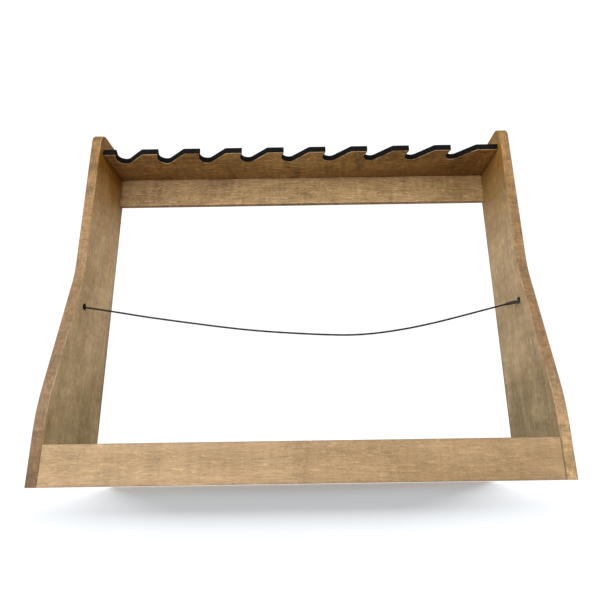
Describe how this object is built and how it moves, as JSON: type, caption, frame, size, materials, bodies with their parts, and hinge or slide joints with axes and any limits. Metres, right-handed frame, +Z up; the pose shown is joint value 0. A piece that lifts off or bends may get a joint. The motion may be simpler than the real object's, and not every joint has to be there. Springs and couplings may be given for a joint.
{
  "type": "slotted upright storage rack",
  "caption": "Wooden upright rack: flared side panels, a notched lined shelf over a back rail, a front rail with a foot trough, and a retaining cable.",
  "frame": {"origin": "on the floor, midway between the side panels and midway between the front and the back of their feet", "axes": "+X to the rack's right seen from the front, +Y to its back, +Z up"},
  "size_m": [0.9039, 0.2032, 0.6985],
  "materials": {
    "side_panels": "satin stain over fine-grained hardwood, vertical grain",
    "shelf_wood": "satin stain over fine-grained hardwood, in shade",
    "back_rail_wood": "satin stain over fine-grained hardwood, level grain",
    "front_rail_wood": "satin stain over fine-grained hardwood, level grain",
    "base_wood": "satin stain over fine-grained hardwood",
    "plug_wood": "stained end-grain plugs",
    "liner": "black felt edge strip",
    "pad": "black felt pad",
    "cable_coat": "black coated cable",
    "crimp_steel": "black-finished crimps",
    "zinc_steel": "zinc-plated steel"
  },
  "bodies": {
    "root": {"left_side_panel": "side_panels", "right_side_panel": "side_panels", "notched_shelf": "shelf_wood", "notch_liner": "liner", "back_rail": "back_rail_wood", "front_rail": "front_rail_wood", "base_board": "base_wood", "base_pad": "pad", "cable_strand": "cable_coat", "cable_eye": "cable_coat", "cable_ferrule": "crimp_steel", "cable_stop": "crimp_steel", "stop_washer": "zinc_steel", "left_screw_front_rail_1": "zinc_steel", "left_plug_front_rail_1": "plug_wood", "left_screw_front_rail_2": "zinc_steel", "left_plug_front_rail_2": "plug_wood", "left_screw_base_board_1": "zinc_steel", "left_plug_base_board_1": "plug_wood", "left_screw_base_board_2": "zinc_steel", "left_plug_base_board_2": "plug_wood", "left_screw_base_board_3": "zinc_steel", "left_plug_base_board_3": "plug_wood", "left_screw_back_rail_1": "zinc_steel", "left_plug_back_rail_1": "plug_wood", "left_screw_back_rail_2": "zinc_steel", "left_plug_back_rail_2": "plug_wood", "left_screw_shelf_1": "zinc_steel", "left_plug_shelf_1": "plug_wood", "left_screw_shelf_2": "zinc_steel", "left_plug_shelf_2": "plug_wood", "right_screw_front_rail_1": "zinc_steel", "right_plug_front_rail_1": "plug_wood", "right_screw_front_rail_2": "zinc_steel", "right_plug_front_rail_2": "plug_wood", "right_screw_base_board_1": "zinc_steel", "right_plug_base_board_1": "plug_wood", "right_screw_base_board_2": "zinc_steel", "right_plug_base_board_2": "plug_wood", "right_screw_base_board_3": "zinc_steel", "right_plug_base_board_3": "plug_wood", "right_screw_back_rail_1": "zinc_steel", "right_plug_back_rail_1": "plug_wood", "right_screw_back_rail_2": "zinc_steel", "right_plug_back_rail_2": "plug_wood", "right_screw_shelf_1": "zinc_steel", "right_plug_shelf_1": "plug_wood", "right_screw_shelf_2": "zinc_steel", "right_plug_shelf_2": "plug_wood"}
  },
  "joints": []
}
